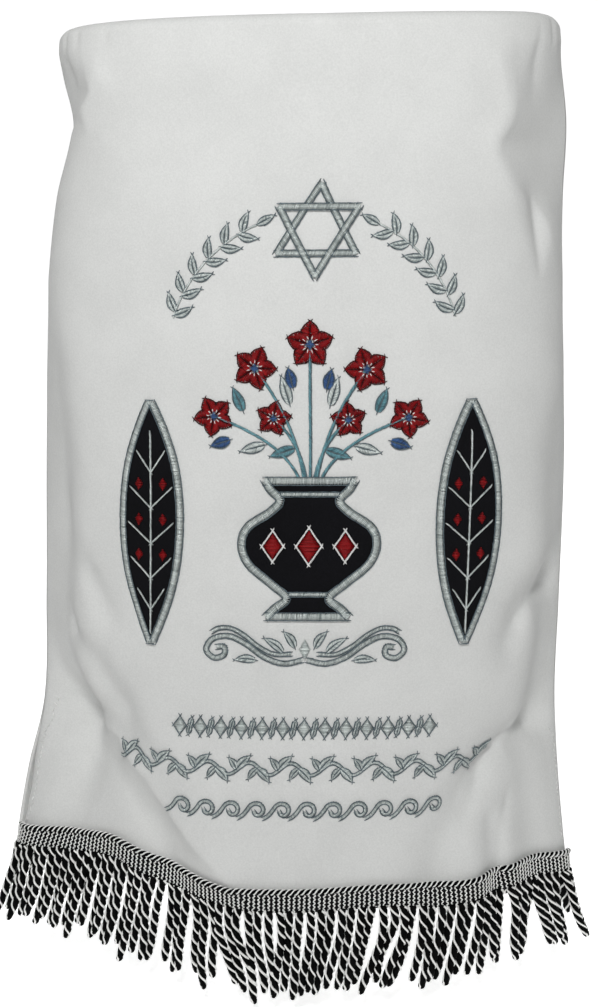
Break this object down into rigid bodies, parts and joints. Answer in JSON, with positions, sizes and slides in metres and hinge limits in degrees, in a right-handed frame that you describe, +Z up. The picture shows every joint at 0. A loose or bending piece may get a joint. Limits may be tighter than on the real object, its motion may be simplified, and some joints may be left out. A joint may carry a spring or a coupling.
{
  "type": "torah mantle",
  "caption": "Hollow oval cloth cover for a scroll, closed by a flat top with handle holes, open below, slit at the sides and fringed along the hem.",
  "frame": {"origin": "middle of the top's underside, where the cover rests on the scroll inside it", "axes": "+Z up, -Y out of the embroidered front, +X to the right as the front is seen"},
  "size_m": [0.4116, 0.1975, 0.6138],
  "materials": {
    "white_velvet": "short pile, matt with a soft sheen",
    "bullion_fringe": "black twisted cord with a silver-white thread",
    "black_velvet": "short pile, matt"
  },
  "bodies": {
    "root": {"top_panel": "white_velvet", "front_panel": "white_velvet", "back_panel": "white_velvet", "front_fringe": "bullion_fringe", "back_fringe": "bullion_fringe", "urn_patch": "black_velvet", "left_leaf_patch": "black_velvet", "right_leaf_patch": "black_velvet"}
  },
  "joints": []
}
